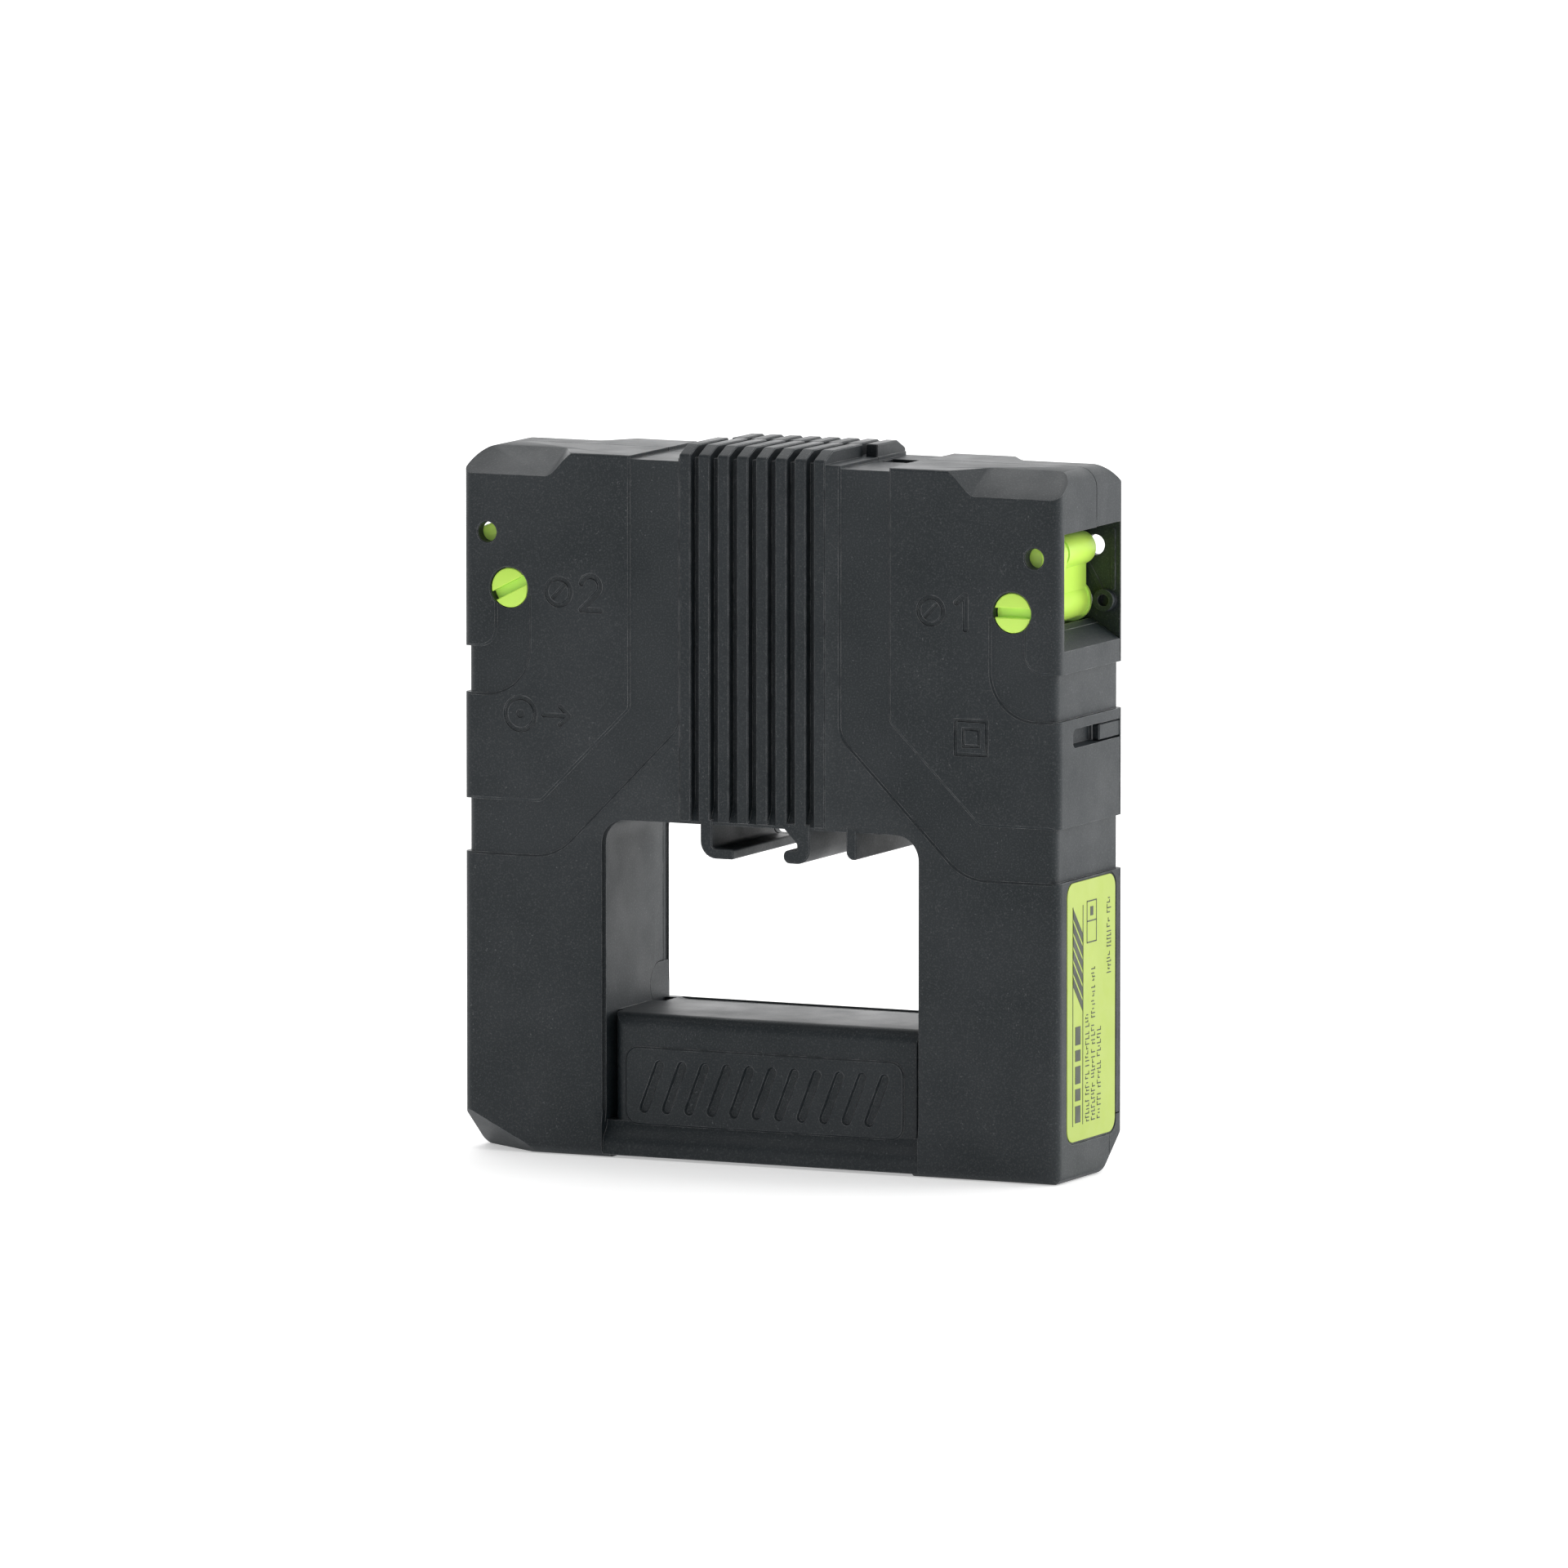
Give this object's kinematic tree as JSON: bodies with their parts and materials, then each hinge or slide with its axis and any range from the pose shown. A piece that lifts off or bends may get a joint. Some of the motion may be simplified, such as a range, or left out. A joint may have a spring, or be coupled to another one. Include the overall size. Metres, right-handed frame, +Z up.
{
  "type": "window-type current transformer",
  "caption": "Flat black current transformer on two legs round a rectangular busbar window, with slotted lime clamp levers in its upper corners and ribs over the middle.",
  "frame": {"origin": "bottom centre of the case, on the plane that the two legs stand on", "axes": "+X to the right seen from the front, +Y from the front to the rear along the busbar, +Z up"},
  "size_m": [0.0926, 0.0226, 0.1018],
  "materials": {
    "case_plastic": "fine-grained matt moulding",
    "insert_plastic": "smooth matt moulding",
    "lime_plastic": "satin moulding",
    "label_film": "printed polyester film",
    "core_steel": "wound silicon-steel strip",
    "copper": "enamelled copper wire",
    "contact_brass": "bright stamped brass",
    "spring_steel": "bright spring strip",
    "winding_tape": "translucent polyester tape",
    "foam": "closed-cell foam",
    "bobbin_plastic": "natural glass-filled nylon",
    "sleeving": "red insulating sleeve"
  },
  "bodies": {
    "housing": {"front_shell": "case_plastic", "rear_shell": "case_plastic", "magnetic_core": "core_steel", "winding_bobbin": "bobbin_plastic", "secondary_winding": "copper", "winding_tape": "winding_tape", "core_pad_bottom": "foam", "core_pad_left": "foam", "core_pad_right": "foam", "terminal_block_s1": "insert_plastic", "contact_bar_s1": "contact_brass", "clamp_spring_s1": "spring_steel", "lead_wire_s1": "copper", "lead_sleeve_s1": "sleeving", "terminal_block_s2": "insert_plastic", "contact_bar_s2": "contact_brass", "clamp_spring_s2": "spring_steel", "lead_wire_s2": "copper", "lead_sleeve_s2": "sleeving", "rating_label": "label_film"},
    "lever_s1": {"clamp_lever_s1": "lime_plastic"},
    "lever_s2": {"clamp_lever_s2": "lime_plastic"}
  },
  "joints": [
    {"name": "lever_s1_turn", "type": "hinge", "parent": "housing", "child": "lever_s1", "pos_m": [0.039, 0, 0.0804], "axis": [0, 1, 0], "range_deg": [0, 27]},
    {"name": "lever_s2_turn", "type": "hinge", "parent": "housing", "child": "lever_s2", "pos_m": [-0.039, 0, 0.0804], "axis": [0, -1, 0], "range_deg": [-27, 0]}
  ]
}
